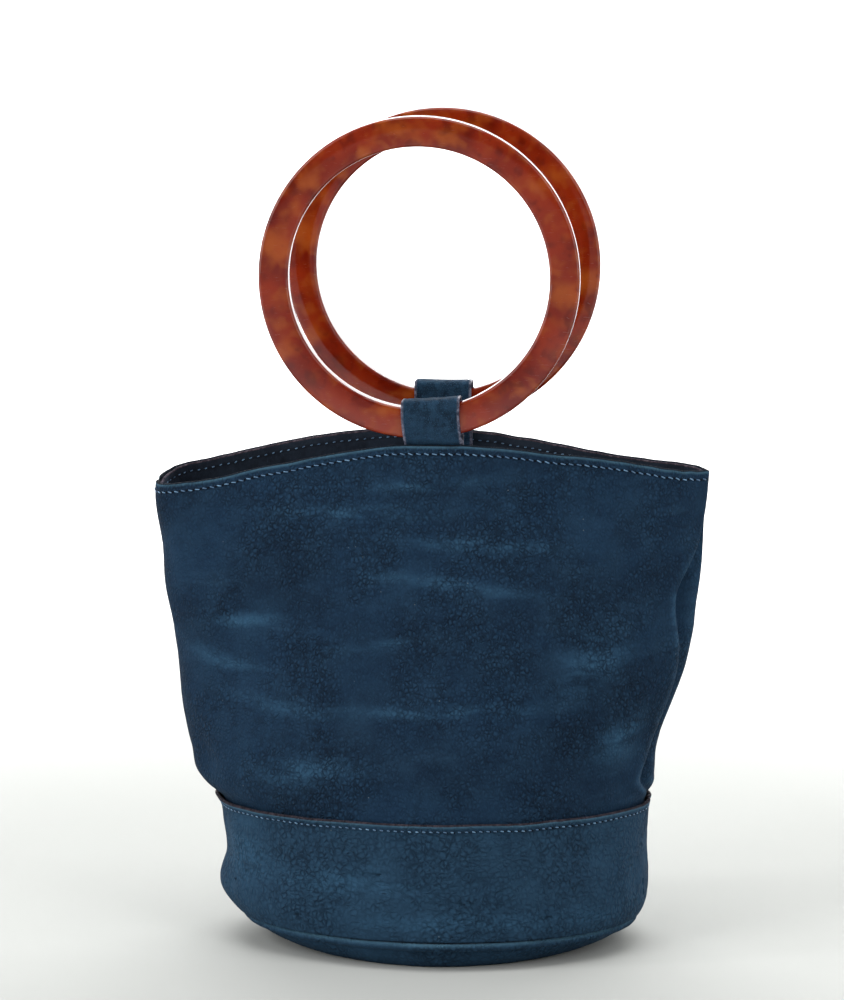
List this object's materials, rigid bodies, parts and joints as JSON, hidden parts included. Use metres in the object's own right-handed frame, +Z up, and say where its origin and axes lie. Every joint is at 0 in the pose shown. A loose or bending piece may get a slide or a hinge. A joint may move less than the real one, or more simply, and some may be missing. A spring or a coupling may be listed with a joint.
{
  "type": "bucket bag",
  "caption": "Leather bucket bag: an oval base with a band, a body that flattens towards its open mouth, and ring handles held in leather tabs.",
  "frame": {"origin": "on the ground, under the middle of the base", "axes": "+Z up, +X to the right of someone facing the front, front towards -Y"},
  "size_m": [0.2788, 0.1506, 0.422],
  "materials": {
    "nubuck": "dark blue nubuck with a pebbled grain and paler scuffs",
    "suede": "the leather's rough dark flesh side",
    "tape": "dark woven tape",
    "board": "grey fibreboard",
    "tortoiseshell": "polished acetate, deep red-brown with amber clouds"
  },
  "bodies": {
    "bag": {"front_panel": "nubuck", "back_panel": "nubuck", "base_band_front": "nubuck", "base_band_back": "nubuck", "base_welt": "nubuck", "base_panel": "nubuck", "base_board": "board", "base_lining": "suede", "front_facing": "suede", "back_facing": "suede", "left_seam_tape": "tape", "right_seam_tape": "tape", "front_tab_anchor": "nubuck", "back_tab_anchor": "nubuck"},
    "front_tab": {"front_tab_loop": "nubuck"},
    "front_handle": {"front_ring": "tortoiseshell"},
    "back_tab": {"back_tab_loop": "nubuck"},
    "back_handle": {"back_ring": "tortoiseshell"}
  },
  "joints": [
    {"name": "front_tab_fold", "type": "hinge", "parent": "bag", "child": "front_tab", "pos_m": [0, -0.0385, 0.2602], "axis": [1, 0, 0], "range_deg": [-9, 160]},
    {"name": "front_ring_turn", "type": "hinge", "parent": "front_tab", "child": "front_handle", "pos_m": [-0.006, -0.0317, 0.342], "axis": [0, 1, 0], "continuous": true},
    {"name": "back_tab_fold", "type": "hinge", "parent": "bag", "child": "back_tab", "pos_m": [0, 0.0385, 0.2602], "axis": [-1, 0, 0], "range_deg": [-9, 160]},
    {"name": "back_ring_turn", "type": "hinge", "parent": "back_tab", "child": "back_handle", "pos_m": [0, 0.0317, 0.342], "axis": [0, 1, 0], "continuous": true}
  ]
}
